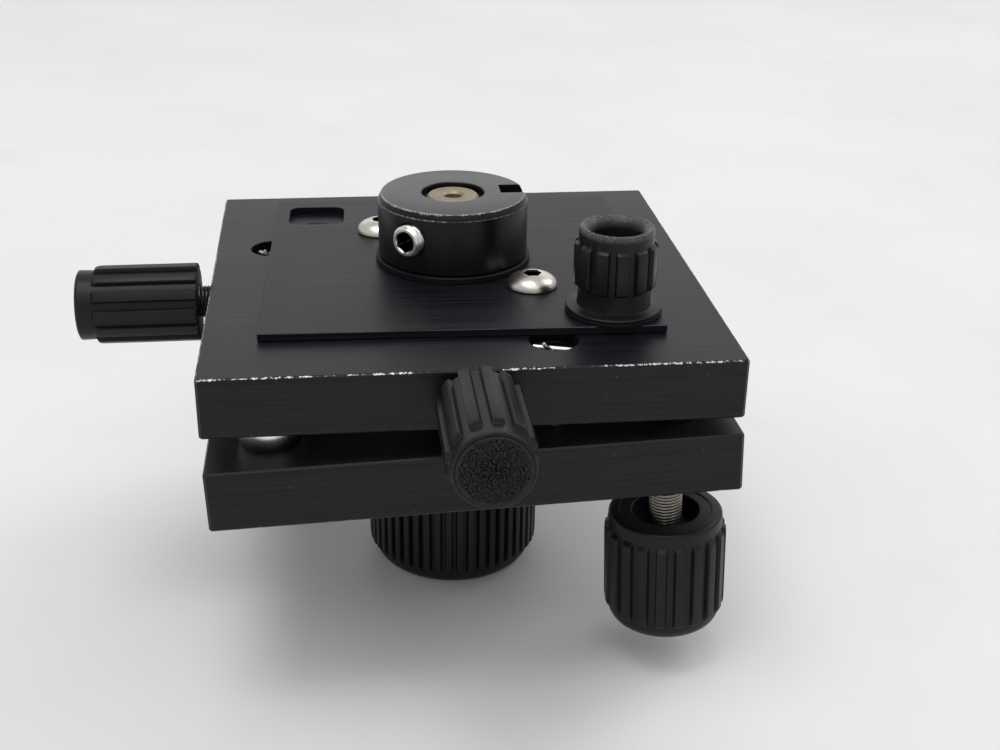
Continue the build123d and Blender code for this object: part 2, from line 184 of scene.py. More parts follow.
def thread(radius, low, high, pitch=0.5, depth=0.24, segments=40, chamfer=0.3):
    """A rod with a helical thread along Z."""
    per_turn = 5
    count = int((high - low) / pitch * per_turn)
    loops = []
    for i in range(count + 1):
        z = low + (high - low) * i / count
        loop = []
        for j in range(segments):
            a = TAU * j / segments
            wave = abs(((z / pitch - a / TAU) % 1.0) * 2 - 1)
            r = radius - depth * wave
            edge = min(z - low, high - z)
            r = min(r, radius - max(0.0, chamfer - edge))
            loop.append((r * math.cos(a), r * math.sin(a), z))
        loops.append(loop)
    return rings(loops)


def sweep(path, radius, segments=10):
    """A round wire along a list of points."""
    loops = []
    side = None
    for i, p in enumerate(path):
        ahead, behind = path[min(i + 1, len(path) - 1)], path[max(i - 1, 0)]
        along = (Vector(ahead) - Vector(behind)).normalized()
        if side is None:
            side = along.orthogonal().normalized()
        side = (side - along * side.dot(along)).normalized()
        other = along.cross(side)
        turns = [TAU * j / segments for j in range(segments)]
        loops.append([Vector(p) + radius * (math.cos(a) * side + math.sin(a) * other) for a in turns])
    return rings(loops)


def prism(sides, across, low, high, turn=0.0):
    r = across / 2 / math.cos(math.pi / sides)
    turns = [turn + TAU * i / sides for i in range(sides)]
    return rings([[(r * math.cos(a), r * math.sin(a), z) for a in turns] for z in (low, high)])


def slab(low, high):
    (a, b, c), (d, e, f) = low, high
    return rings([[(a, b, c), (d, b, c), (d, e, c), (a, e, c)], [(a, b, f), (d, b, f), (d, e, f), (a, e, f)]])


def carve(data, *cutters):
    """Boolean difference of closed local meshes, in mm."""
    def thing(d):
        mesh = bpy.data.meshes.new("carve")
        mesh.from_pydata([Vector(p) for p in d[0]], [], d[1])
        ob = bpy.data.objects.new("carve", mesh)
        bpy.context.scene.collection.objects.link(ob)
        return ob
    body = thing(data)
    tools = [thing(c) for c in cutters]
    for tool in tools:
        cut = body.modifiers.new("cut", "BOOLEAN")
        cut.operation = "DIFFERENCE"
        cut.solver = "EXACT"
        cut.object = tool
    bpy.context.view_layer.update()
    shaped = body.evaluated_get(bpy.context.evaluated_depsgraph_get()).to_mesh()
    points = [v.co.copy() for v in shaped.vertices]
    faces = [list(p.vertices) for p in shaped.polygons]
    for ob in tools + [body]:
        bpy.data.objects.remove(ob)
    return points, faces


def placed(data, place):
    return [place @ Vector(p) for p in data[0]], data[1]


def plug(radius, low, high, segments=64):
    return lathe([(radius, low), (radius, high)], segments)


def worn_box(x, y, low, high, edge, seed, nicks=0.12):
    """A plate whose broken edges wander and are nicked."""
    corner = edge * 1.6
    step = 0.9                              # between points along an edge

    def run(z_kind):
        loop = []
        sides = [((-x / 2 + corner, -y / 2), (x / 2 - corner, -y / 2), (0, 1)),
                 ((x / 2, -y / 2 + corner), (x / 2, y / 2 - corner), (-1, 0)),
                 ((x / 2 - corner, y / 2), (-x / 2 + corner, y / 2), (0, -1)),
                 ((-x / 2, y / 2 - corner), (-x / 2, -y / 2 + corner), (1, 0))]
        for (ax, ay), (bx, by), inward in sides:
            count = int(math.dist((ax, ay), (bx, by)) / step)
            for i in range(count + 1):
                t = i / count
                px, py = ax + (bx - ax) * t, ay + (by - ay) * t
                dent = nicks * max(0.0, noise.noise((px * 0.8 + seed, py * 0.8, z_kind)) - 0.25) * 2
                loop.append((px, py, inward, dent))
        return loop

    def ring(kind, depth_of, z_of):
        return [(px + inward[0] * depth_of(dent), py + inward[1] * depth_of(dent), z_of(dent))
                for px, py, inward, dent in run(kind)]
    loops = [ring(1, lambda d: edge + d, lambda d: low),
             ring(1, lambda d: 0.0, lambda d: low + edge + d),
             ring(2, lambda d: 0.0, lambda d: high - edge - d),
             ring(2, lambda d: edge + d, lambda d: high)]
    return rings(loops)


# ---- materials ----------------------------------------------------------------------------------------
class Shader:
    """A node material whose coordinates are the piece's own, in mm."""

    def __init__(self, name):
        self.material = bpy.data.materials.new(name)
        self.material.use_nodes = True
        self.tree = self.material.node_tree
        self.tree.nodes.clear()
        self.bsdf = self.tree.nodes.new("ShaderNodeBsdfPrincipled")
        out = self.tree.nodes.new("ShaderNodeOutputMaterial")
        self.tree.links.new(self.bsdf.outputs[0], out.inputs["Surface"])
        coords = self.tree.nodes.new("ShaderNodeTexCoord").outputs["Object"]
        self.mm = self.vector("MULTIPLY", coords, (1000, 1000, 1000))
        self.x, self.y, self.z = self.split(self.mm)

    def put(self, socket, value):
        if isinstance(value, bpy.types.NodeSocket):
            self.tree.links.new(value, socket)
        else:
            socket.default_value = value

    def math(self, kind, a, b=0.0):
        n = self.tree.nodes.new("ShaderNodeMath")
        n.operation = kind
        self.put(n.inputs[0], a)
        self.put(n.inputs[1], b)
        return n.outputs[0]

    def vector(self, kind, a, b=(0, 0, 0)):
        n = self.tree.nodes.new("ShaderNodeVectorMath")
        n.operation = kind
        self.put(n.inputs[0], a)
        self.put(n.inputs[1], b)
        return n.outputs[0]

    def split(self, v):
        n = self.tree.nodes.new("ShaderNodeSeparateXYZ")
        self.put(n.inputs[0], v)
        return n.outputs

    def noise(self, scale, detail=3.0, stretch=(1, 1, 1), rough=0.55, shift=(0, 0, 0)):
        """Noise about 0.5, with features about 1/scale mm."""
        n = self.tree.nodes.new("ShaderNodeTexNoise")
        self.put(n.inputs["Vector"], self.vector("ADD", self.vector("MULTIPLY", self.mm, stretch), shift))
        n.inputs["Scale"].default_value = scale
        n.inputs["Detail"].default_value = detail
        n.inputs["Roughness"].default_value = rough
        return n.outputs["Fac"]

    def ramp(self, value, low, high, out_low=0.0, out_high=1.0):
        n = self.tree.nodes.new("ShaderNodeMapRange")
        n.interpolation_type = "SMOOTHSTEP"
        self.put(n.inputs[0], value)
        for i, v in enumerate((low, high, out_low, out_high)):
            self.put(n.inputs[i + 1], v)
        return n.outputs[0]

    def mix(self, factor, a, b):
        n = self.tree.nodes.new("ShaderNodeMix")
        n.data_type = "RGBA"
        self.put(n.inputs[0], factor)
        self.put(n.inputs[6], (*a, 1) if isinstance(a, tuple) else a)
        self.put(n.inputs[7], (*b, 1) if isinstance(b, tuple) else b)
        return n.outputs[2]

    def bump(self, height, distance, strength=1.0):
        """distance in mm."""
        n = self.tree.nodes.new("ShaderNodeBump")
        n.inputs["Strength"].default_value = strength
        n.inputs["Distance"].default_value = distance * MM
        self.put(n.inputs["Height"], height)
        return n.outputs[0]

    def finish(self, color, roughness, metallic=0.0, normal=None, **fixed):
        self.put(self.bsdf.inputs["Base Color"], color)
        self.put(self.bsdf.inputs["Roughness"], roughness)
        self.put(self.bsdf.inputs["Metallic"], metallic)
        if normal is not None:
            self.put(self.bsdf.inputs["Normal"], normal)
        for socket, value in fixed.items():
            self.bsdf.inputs[socket.replace("_", " ")].default_value = value
        return self.material


def anodised(name, half, wear=1.0, tone=(0.0036, 0.0039, 0.0056), rough=0.35, bare_tone=(0.72, 0.71, 0.69),
             quiet=None):
    """Black anodising over brushed plate, bare metal where edges are worn. half is the box's half size and
    height: (hx, hy, z_low, z_high). quiet is (x, reach): edges near that x are hardly worn."""
    s = Shader(name)
    hx, hy, z_low, z_high = half
    coords = s.tree.nodes.new("ShaderNodeTexCoord")
    facing_x = s.math("ABSOLUTE", s.split(coords.outputs["Normal"])[0])
    apart = (3, 7, 5)                       # keeps the fine lines clear of the coarse ones
    along_x = s.math("ADD", s.noise(1.0, 3, (0.02, 1.9, 1.9)), s.noise(1.0, 2, (0.05, 5.5, 5.5), shift=apart))
    along_y = s.math("ADD", s.noise(1.0, 3, (1.9, 0.02, 1.9)), s.noise(1.0, 2, (5.5, 0.05, 5.5), shift=apart))
    lines = s.math("MULTIPLY", s.math("ADD", s.math("MULTIPLY", along_x, s.math("SUBTRACT", 1.0, facing_x)),
                                      s.math("MULTIPLY", along_y, facing_x)), 0.5)
    cloud = s.noise(0.07, 4)
    dust = s.ramp(s.noise(2.3, 2, rough=0.4), 0.71, 0.78)
    # the middle one of the distances to the box's faces: how far a surface point is from an edge
    dx = s.math("SUBTRACT", hx, s.math("ABSOLUTE", s.x))
    dy = s.math("SUBTRACT", hy, s.math("ABSOLUTE", s.y))
    dz = s.math("MINIMUM", s.math("SUBTRACT", z_high, s.z), s.math("SUBTRACT", s.z, z_low))
    smallest = s.math("MINIMUM", s.math("MINIMUM", dx, dy), dz)
    largest = s.math("MAXIMUM", s.math("MAXIMUM", dx, dy), dz)
    edge = s.math("SUBTRACT", s.math("SUBTRACT", s.math("ADD", s.math("ADD", dx, dy), dz), smallest), largest)
    ragged = s.noise(1.8, 4, rough=0.8)
    stretch = s.ramp(s.noise(0.10, 2), 0.34, 0.56, 0.45, 1.0)
    if quiet:
        away = s.math("ABSOLUTE", s.math("SUBTRACT", s.x, quiet[0]))
        stretch = s.math("MULTIPLY", stretch, s.ramp(away, quiet[1] * 0.5, quiet[1], 0.3, 1.0))
    stretch = s.math("MAXIMUM", stretch, s.ramp(largest, 2.0, 9.0, 1.0, 0.0))
    stretch = s.math("MULTIPLY", stretch, s.ramp(s.z, z_high - 0.8, z_high - 0.3, 0.3, 1.0))
    bite = s.math("MULTIPLY", s.ramp(ragged, 0.34, 0.70, 0.05, 0.34 * wear), stretch)
    bare = s.ramp(s.math("SUBTRACT", edge, bite), -0.06, 0.03, 1.0, 0.0)
    nick = s.ramp(s.noise(0.9, 5, rough=0.8, shift=(11, 4, 9)), 0.72, 0.76, 0.0, 0.8 * wear)
    bare = s.math("MAXIMUM", bare, s.math("MULTIPLY", nick, s.ramp(edge, 0.3, 1.1, 1.0, 0.0)))
    color = s.mix(s.ramp(lines, 0.34, 0.66), tuple(c * 0.35 for c in tone), tuple(c * 2.3 for c in tone))
    color = s.mix(s.math("MULTIPLY", s.ramp(cloud, 0.4, 0.8), 0.5), color, tuple(c * 1.8 for c in tone))
    color = s.mix(s.math("MULTIPLY", dust, 0.30), color, (0.13, 0.13, 0.13))
    color = s.mix(bare, color, bare_tone)
    uneven = s.math("ADD", s.math("MULTIPLY", cloud, 0.08), s.math("MULTIPLY", lines, 0.30))
    roughness = s.math("ADD", rough - 0.16, uneven)
    metallic = s.math("MULTIPLY", bare, 0.5)
    height = s.math("ADD", lines, s.math("MULTIPLY", s.noise(9.0, 2), 0.15))
    return s.finish(color, roughness, metallic, s.bump(height, 0.08, 0.6), Specular_IOR_Level=0.26)


def turned(name, tone, rough=0.3, metallic=0.0, light=(0.3, 0.3, 0.3), dusty=0.15, rims=(), painted_hollow_shade=None,
           painted_top_sheen=None, shine=0.5, centre=(0.0, 0.0)):
    """A surface with fine turning marks round Z and a little dust. rims are worn edges, (radius, z, width);
    painted_hollow_shade is (radius, z): nearer the axis and below z it is painted dark, painted shade as in
    a socket. painted_top_sheen is (z, tone): from z up it is painted paler, a painted sheen of light on the top.
    centre is where the axis is, mirrored in X and Y."""
    s = Shader(name)
    off_x = s.math("SUBTRACT", s.math("ABSOLUTE", s.x), centre[0])
    off_y = s.math("SUBTRACT", s.math("ABSOLUTE", s.y), centre[1])
    radius = s.math("SQRT", s.math("ADD", s.math("MULTIPLY", off_x, off_x), s.math("MULTIPLY", off_y, off_y)))
    n = s.tree.nodes.new("ShaderNodeTexNoise")
    both = s.tree.nodes.new("ShaderNodeCombineXYZ")
    s.put(both.inputs[0], radius)
    s.put(both.inputs[1], s.z)
    s.put(n.inputs["Vector"], both.outputs[0])
    n.inputs["Scale"].default_value = 5.0
    n.inputs["Detail"].default_value = 4.0
    marks = n.outputs["Fac"]
    cloud = s.noise(0.35, 4)
    specks = s.ramp(s.noise(3.5, 2, rough=0.4), 0.70, 0.78)
    color = s.mix(s.ramp(cloud, 0.3, 0.8), tone, tuple(min(1.0, c * 1.35) for c in tone))
    # painted sheen: from a height up the colour is painted paler, standing in for light on the top
    if painted_top_sheen:
        color = s.mix(s.ramp(s.z, painted_top_sheen[0] - 0.08, painted_top_sheen[0]), color, painted_top_sheen[1])
    color = s.mix(s.math("MULTIPLY", specks, dusty), color, light)
    for rim_r, rim_z, width in rims:
        dr = s.math("SUBTRACT", radius, rim_r)
        dz = s.math("SUBTRACT", s.z, rim_z)
        away = s.math("SQRT", s.math("ADD", s.math("MULTIPLY", dr, dr), s.math("MULTIPLY", dz, dz)))
        ragged = s.math("MULTIPLY", s.ramp(s.noise(3.0, 4, rough=0.85), 0.42, 0.68, 0.0, width),
                        s.ramp(s.noise(0.16, 2, shift=(5, 2, 1)), 0.35, 0.62, 0.35, 1.0))
        worn = s.ramp(s.math("SUBTRACT", away, ragged), -0.08, 0.05, 1.0, 0.0)
        color = s.mix(s.math("MULTIPLY", worn, 0.8), color, (0.50, 0.50, 0.51))
    # painted shade: near the axis and below a height the colour is painted near-black, as in a socket
    if painted_hollow_shade:
        inside = s.math("MULTIPLY", s.ramp(radius, painted_hollow_shade[0], painted_hollow_shade[0] + 0.1, 1.0, 0.0),
                        s.ramp(s.z, painted_hollow_shade[1] - 0.35, painted_hollow_shade[1], 1.0, 0.0))
        color = s.mix(inside, color, (0.012, 0.012, 0.012))
    roughness = s.math("ADD", rough - 0.06, s.math("MULTIPLY", s.math("ADD", marks, cloud), 0.09))
    return s.finish(color, roughness, metallic, s.bump(marks, 0.006, 0.7), Specular_IOR_Level=shine)


def moulded(name, tone=(0.0060, 0.0062, 0.0080), rough=0.38, grain=6.0, wear_and_highlight=None, painted_hollow_shade=None):
    """Black moulded plastic: fine grain; paler specks above a height, partly wear and partly a painted highlight;
    painted shade, darker, in a relief's hollows. wear_and_highlight and painted_hollow_shade are (low, high)
    heights along Z."""
    s = Shader(name)
    cloud = s.noise(0.5, 4)
    fine = s.noise(grain, 3, rough=0.6)
    specks = s.ramp(s.noise(3.2, 2, rough=0.4), 0.70, 0.80)
    color = s.mix(s.ramp(cloud, 0.35, 0.8), tone, tuple(c * 1.7 for c in tone))
    color = s.mix(s.math("MULTIPLY", specks, 0.16), color, (0.2, 0.2, 0.2))
    # paler specks above a height: partly wear, partly a painted highlight along the top rim
    if wear_and_highlight:
        gritty = s.ramp(s.noise(7.0, 3, rough=0.8), 0.42, 0.66, 0.0, 1.0)
        color = s.mix(s.math("MULTIPLY", gritty, s.ramp(s.z, *wear_and_highlight)), color, (0.22, 0.22, 0.225))
    # painted shade: lower in the relief the colour is painted darker, as shade in its hollows
    if painted_hollow_shade:
        color = s.mix(s.ramp(s.z, *painted_hollow_shade), (0.0035, 0.0035, 0.0042), color)
    roughness = s.math("ADD", rough - 0.08, s.math("MULTIPLY", cloud, 0.16))
    height = s.math("ADD", fine, s.math("MULTIPLY", cloud, 0.8))
    return s.finish(color, roughness, 0.0, s.bump(height, 0.02, 0.3), Specular_IOR_Level=0.24)


def floor_look():
    s = Shader("table_top")
    cloud = s.noise(0.012, 4, rough=0.5)
    smudge = s.ramp(s.noise(0.035, 5, rough=0.65), 0.52, 0.72)
    grain = s.noise(1.6, 3)
    color = s.mix(s.ramp(cloud, 0.3, 0.7), (0.810, 0.810, 0.785), (0.850, 0.850, 0.825))
    color = s.mix(s.math("MULTIPLY", smudge, 0.10), color, (0.62, 0.62, 0.61))
    color = s.mix(s.math("MULTIPLY", s.ramp(grain, 0.66, 0.75), 0.06), color, (0.4, 0.4, 0.4))
    return s.finish(color, s.ramp(cloud, 0.3, 0.7, 0.42, 0.55), 0.0, s.bump(grain, 0.01, 0.3))


half = PLATE / 2
HUB_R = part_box("hub")[1].x / MM
HUB_TOP = (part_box("hub")[1].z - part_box("top_plate")[1].z) / MM
SET_OUT = 1.25                              # the hub's set screw stands this far out of its side
SET_FOOT = 4.1                              # its inner end, on the spindle
SET_LENGTH = HUB_R + SET_OUT - SET_FOOT
CAP_TOP = 18.2 + 0.12                       # a drive knob's end cap, from the knob's foot
plate_look = anodised("anodised_stage", (half, half, -PLATE_T, 0.0), quiet=(-2.0, 7.0))
base_look = anodised("anodised_base", (half, half, -PLATE_T, 0.0), wear=0.5, bare_tone=(0.05, 0.05, 0.052))
cover_look = anodised("anodised_cover", (28.9, 28.9, 0.03, 1.2), wear=0.2, rough=0.38,
                      bare_tone=(0.3, 0.3, 0.3))
# the hub's top is painted paler, a painted sheen of light on it
hub_look = turned("anodised_hub", (0.0030, 0.0031, 0.0040), rough=0.30, dusty=0.08, shine=0.28,
                  painted_top_sheen=(HUB_TOP - 0.02, (0.065, 0.064, 0.064)),
                  rims=[(HUB_R - 0.5, HUB_TOP - 0.05, 0.36), (HUB_R, HUB_TOP - 1.0, 0.16)])
big_knob_look = turned("anodised_knob", (0.0055, 0.0057, 0.0070), rough=0.42, shine=0.3)
knob_look = moulded("moulded_knob")
# the lock knob's top rim is paler: partly wear, partly a painted highlight
lock_look = moulded("moulded_lock", wear_and_highlight=(12.9, 14.0))
adjuster_look = moulded("moulded_adjuster", rough=0.40, grain=4.0)
# the cap's cracks get painted shade
cap_look = moulded("crackled_cap", tone=(0.0125, 0.0125, 0.014), rough=0.42,
                   painted_hollow_shade=(CAP_TOP - 0.17, CAP_TOP - 0.06))
# painted shade inside the set screw's hex socket
set_look = turned("steel_set_screw", (0.80, 0.77, 0.71), rough=0.28, metallic=1.0,
                  painted_hollow_shade=(1.62, SET_LENGTH - 0.05))
steel_look = turned("steel_satin", (0.60, 0.57, 0.53), rough=0.30, metallic=1.0, light=(0.4, 0.38, 0.35))
rod_look = turned("steel_thread", (0.27, 0.245, 0.215), rough=0.33, metallic=1.0, light=(0.2, 0.18, 0.15))
# darker steel than the other threaded rods
lead_look = turned("steel_darker", (0.11, 0.10, 0.09), rough=0.30, metallic=1.0, light=(0.2, 0.18, 0.15))
dark_look = turned("steel_black", (0.0045, 0.0045, 0.0055), rough=0.48, dusty=0.05, shine=0.2)
ball_look = turned("ball_steel", (0.80, 0.79, 0.76), rough=0.22, metallic=1.0, light=(0.5, 0.5, 0.5))
bronze_look = turned("bronze", (0.31, 0.255, 0.185), rough=0.48, metallic=0.8, light=(0.3, 0.24, 0.17))
raw_look = turned("aluminium", (0.66, 0.66, 0.67), rough=0.35, metallic=1.0)

LOOKS = {"black_anodised": base_look, "black_anodised_hub": hub_look, "black_plastic": knob_look,
         "bare_aluminium": raw_look, "screw_steel": rod_look, "bright_steel": steel_look,
         "dark_steel": dark_look, "bronze": bronze_look}
SLOTS = {s["node"]: s["material_slot"] for s in frame["record"]["subparts"]}
for node, ob in frame["nodes"].items():
    ob.data.materials.clear()
    ob.data.materials.append(LOOKS[SLOTS[node]])

# ---- fixed sizes shared by several pieces -------------------------------------------------------------
pads_right = span("adjuster_pads", lambda p: p.x > 0)
CORNER = (pads_right[0].x + pads_right[1].x) / 2
pin_front = span("upper_spring_pins", lambda p: p.x > 0)
SPRING_A = (pin_front[0].x + pin_front[1].x) / 2
SPRING_B = STAGE.translation.y - (pin_front[0].y + pin_front[1].y) / 2
SPRINGS = {"front": (SPRING_A, -SPRING_B, -18.0), "left": (-SPRING_B, SPRING_A, -38.0)}
ADJUSTERS = {"front": (CORNER, -CORNER), "rear": (-CORNER, CORNER)}
lock_mid = mid("lock_washer")
LOCK = at(lock_mid.x, lock_mid.y, plate_high.z)
LOCK_XY = (lock_mid.x, lock_mid.y - STAGE.translation.y)
BALL = mid("pivot_ball")
LEAD_Z = mid("x_drive_screw").z - plate_high.z
FIT = 0.05                                  # radial clearance of a running fit
SPRING_HOLE, SPRING_BORE, SPRING_STEP = 3.5, 2.6, 1.9
PIN_R = 0.5
LOCK_TAP = 2.0 + FIT
BALL_R = 5.0
PAD_R = 3.5
BUSH_R, BUSH_L = 3.5, 10
ADJUSTER_BUSH_R = 4.5
M5_R, M4_R = 2.5, 2.0
SET_UP = 7.45                               # the hub's set screw above the upper plate


def tube_between(outer, inner, low, high, soft=0.15, segments=72):
    """A ring with softened edges."""
    return lathe([(inner, low + soft), (inner + soft, low), (outer - soft, low), (outer, low + soft),
                  (outer, high - soft), (outer - soft, high), (inner + soft, high), (inner, high - soft),
                  (inner, low + soft)], segments)


def ball(radius, segments=64):
    return lathe(arc(0, 0, radius, -89.9, 89.9, 32), segments)


def rounded_slab(x, y, low, high, radius):
    """A block with rounded upright edges."""
    loop = []
    steps = 6
    for sx, sy, start in ((1, 1, 0), (-1, 1, 90), (-1, -1, 180), (1, -1, 270)):
        middle = (sx * (x / 2 - radius), sy * (y / 2 - radius))
        for i in range(steps + 1):
            a = math.radians(start + 90 * i / steps)
            loop.append((middle[0] + radius * math.cos(a), middle[1] + radius * math.sin(a)))
    return rings([[(px, py, low) for px, py in loop], [(px, py, high) for px, py in loop]])


# ---- plates -------------------------------------------------------------------------------------------
def stage_plate():
    cuts = [rounded_slab(37.4, 42.4, -7.2, 2, 2.0), plug(10.0, -PLATE_T - 1, -5)]
    for x, y, yaw in SPRINGS.values():
        step = -SPRING_STEP
        hole = lathe([(SPRING_BORE, -PLATE_T - 1), (SPRING_BORE, step), (SPRING_HOLE - 0.15, step),
                      (SPRING_HOLE, step + 0.2), (SPRING_HOLE, -0.1), (SPRING_HOLE + 0.6, 0.5)])
        cuts.append(placed(hole, at(x, y, 0)))
    for side in (1, -1):
        hole = lathe([(LOCK_TAP, -PLATE_T - 1), (LOCK_TAP, -0.6), (LOCK_TAP + 1.1, 0.5)], 48)
        cuts.append(placed(hole, at(side * LOCK_XY[0], side * LOCK_XY[1], 0)))
    for x, y in ADJUSTERS.values():
        cuts.append(placed(plug(PAD_R, -PLATE_T - 1, -PLATE_T + 2), at(x, y, 0)))
    cuts.append(placed(ball(BALL_R + FIT), at(-CORNER, -CORNER, BALL.z - plate_high.z)))
    for place in (at(-half, 0, LEAD_Z, (0, -90, 0)), at(0, -half, LEAD_Z, (90, 0, 0))):
        drill = M5_R + 0.2
        cuts.append(placed(lathe([(drill, -20), (drill, -BUSH_L), (BUSH_R, -BUSH_L), (BUSH_R, 1)]), place))
    return carve(worn_box(PLATE, PLATE, -PLATE_T, 0, 0.25, 3), *cuts)


def lower_plate():
    cuts = [plug(11.0, -PLATE_T - 1, 1, 96)]
    for x, y, yaw in SPRINGS.values():
        step = -PLATE_T + SPRING_STEP
        hole = lathe([(SPRING_HOLE, -PLATE_T - 1), (SPRING_HOLE, step), (SPRING_BORE, step),
                      (SPRING_BORE, 1)])
        cuts.append(placed(hole, at(x, y, 0)))
    for x, y in ADJUSTERS.values():
        cuts.append(placed(plug(ADJUSTER_BUSH_R, -PLATE_T - 1, 1), at(x, y, 0)))
    cuts.append(placed(ball(BALL_R + FIT), at(*(BASE.inverted() @ BALL))))
    under, tap = -PLATE_T, 1.65
    hole = lathe([(tap + 0.55, under - 0.5), (tap, under + 0.3), (tap, under + 6.4), (0.1, under + 7)], 40)
    for i in range(4):
        turn = i * math.pi / 2
        cuts.append(placed(hole, at(30 * math.cos(turn), 30 * math.sin(turn), 0)))
    return carve(worn_box(PLATE, PLATE, -PLATE_T, 0, 0.25, 8), *cuts)


COVER_SKEW = math.radians(-1.6)
HEAD_AT = (10.9, 13.1)                      # the two button heads on the slide plate, across its corners
cover_low, cover_high = span("slide_plate")
COVER = (cover_high.x - cover_low.x) / (math.cos(COVER_SKEW) - math.sin(COVER_SKEW))
COVER_TOP = cover_high.z - plate_high.z


def cover_plate():
    cuts = [placed(rounded_slab(9.2, 8.8, -1, 3, 1.8), at(s * 22.0, -s * 20.9, 0)) for s in (1, -1)]
    cuts.append(plug(6.05, -1, 3))
    skew = Matrix.Rotation(-COVER_SKEW, 4, "Z")
    cuts += [placed(plug(2.6, -1, 3, 40), skew @ at(s * HEAD_AT[0], -s * HEAD_AT[1], 0)) for s in (1, -1)]
    return carve(worn_box(COVER, COVER, 0.03, COVER_TOP, 0.1, 14, nicks=0.1), *cuts)


piece("stage_plate", stage_plate(), STAGE, "stage", plate_look, ["top_plate"])
piece("lower_plate", lower_plate(), BASE, "base", base_look, ["base_plate"])
piece("cover_plate", cover_plate(), AXIS @ Matrix.Rotation(COVER_SKEW, 4, "Z"), "carriage",
      cover_look, ["slide_plate"])

# ---- hub, spindle and their screws --------------------------------------------------------------------
hub_foot = span("hub")[0].z - plate_high.z
SET_WAY = math.radians(-129)
SET_PLACE = at(0, 0, SET_UP) @ Matrix.Rotation(SET_WAY, 4, "Z") @ at(SET_FOOT, 0, 0, (0, 90, 0))


def hub_body():
    top = HUB_TOP
    bore, recess, recess_floor = 4.12, 4.85, top - 1.2
    body = lathe([(bore, hub_foot), (HUB_R - 0.3, hub_foot), (HUB_R, hub_foot + 0.3), (HUB_R, top - 1.05),
                  (HUB_R - 0.03, top - 0.93), (HUB_R - 0.44, top - 0.12), (HUB_R - 0.52, top - 0.03),
                  (HUB_R - 0.62, top), (recess + 0.15, top), (recess, top - 0.15), (recess, recess_floor),
                  (bore, recess_floor), (bore, hub_foot)], 128)
    notch = slab((7.4, -1.1, top - 2.2), (HUB_R + 1, 2.9, top + 1))
    set_hole = placed(lathe([(2.52, 0), (2.52, 7.2), (2.8, 7.62), (2.8, 9)], 48), SET_PLACE)
    return carve(body, notch, set_hole)


def socket_screw(radius, low, high, across, depth, pitch):
    """A headless screw with a hex socket in its high end and a thread."""
    rod = thread(radius, low, high, pitch, pitch * 0.45, chamfer=0.45)
    hexagon = prism(6, across, high - depth, high + 1)
    mouth = lathe([(across * 0.42, high - 0.5), (across * 0.66, high + 0.3)], 24)
    return carve(rod, hexagon, mouth)


spindle_low, spindle_high = span("spindle")
SPINDLE_R = spindle_high.x


def spindle_rod():
    foot, top, centre_r = spindle_low.z, spindle_high.z, 1.4
    return lathe([(0, foot), (SPINDLE_R - 0.3, foot), (SPINDLE_R, foot + 0.3), (SPINDLE_R, top - 0.35),
                  (SPINDLE_R - 0.35, top), (3.0, top), (2.9, top - 0.05), (2.2, top - 0.05), (2.1, top),
                  (centre_r + 0.35, top), (centre_r, top - 0.35), (centre_r, top - 7.4), (0, top - 8)], 96)


piece("hub_body", hub_body(), AXIS, "spindle", hub_look, ["hub"])
piece("set_screw", socket_screw(M5_R, 0, SET_LENGTH, 3.0, 3.2, 0.8), AXIS @ SET_PLACE, "spindle",
      set_look, ["hub_set_screw"])
piece("spindle_rod", spindle_rod(), at(0, 0, 0), "spindle", bronze_look, ["spindle"])
washer_low, washer_high = span("thrust_washer")
piece("thrust_disc", tube_between(washer_high.x, 4.2, washer_low.z, washer_high.z, 0.12, 128), at(0, 0, 0),
      "carriage", dark_look, ["thrust_washer"])
piece("clip_ring", tube_between(6.0, 4.1, *[v.z for v in span("spindle_clip")]), at(0, 0, 0), "spindle",
      dark_look, ["spindle_clip"])


# painted shade inside the button heads' hex sockets
bright_look = turned("steel_bright", (0.62, 0.59, 0.53), rough=0.27, metallic=1.0, light=(0.5, 0.48, 0.44),
                     centre=HEAD_AT, painted_hollow_shade=(1.5, COVER_TOP + 1.95))


def button_head():
    """An M4 button head: a 7.6 mm dome with a 2.5 mm hex socket."""
    foot, r = COVER_TOP, 3.8
    dome = [(r * math.cos(t), foot + 0.35 + 1.85 * math.sin(t))
            for t in [math.radians(a) for a in (8, 18, 28, 38, 48, 58, 66)]]
    head = lathe([(0, foot), (r - 0.2, foot), (r, foot + 0.2)] + dome + [(0, foot + 2.06)], 72)
    return carve(head, prism(6, 2.5, foot + 0.9, foot + 4, 0.3))


stem = thread(M4_R, -6.0, COVER_TOP + 0.1, 0.7, 0.3, 28)
heads = merged(*[(data, at(s * HEAD_AT[0], -s * HEAD_AT[1], 0, (0, 0, 40 * s)))
                 for s in (1, -1) for data in (button_head(), stem)])
piece("button_screws", heads, AXIS, "carriage", bright_look, ["slide_plate_screws"])


# ---- knobs --------------------------------------------------------------------------------------------
def big_knob():
    """The spindle's knob: 48 ribs between a rounded foot and a rounded shoulder, and a blind bore."""
    high = span("spindle_knob")[1]
    top, root, bore = high.z, 13.3, 4.1
    outline = [(0.1, 0, 0), (10.9, 0, 0)]
    outline += [(r, z, 0) for r, z in arc(10.9, 2.4, 2.4, -80, -15, 5)]
    outline += [(root, z, k) for z, k in ((2.6, 0.0), (2.9, 0.5), (3.3, 0.95), (4.5, 1), (top - 3.2, 1),
                                          (top - 2.3, 0.9), (top - 1.9, 0.2), (top - 1.5, 0))]
    outline += [(r, z, 0) for r, z in arc(root - 1.0, top - 1.0, 1.0, 10, 90, 4)]
    outline += [(6.5, top, 0), (6.2, top - 0.3, 0), (bore + 0.2, top - 0.3, 0), (bore, top - 0.5, 0)]
    outline += [(bore, 4, 0), (0.1, 4, 0)]
    skin = ribbed(outline, 48, 1.05, high.x - root, 13.7, steps=3)
    return carve(skin, placed(plug(M4_R + 0.02, 0, 12, 32), at(0, 4.2, 12, (-90, 0, 0))))


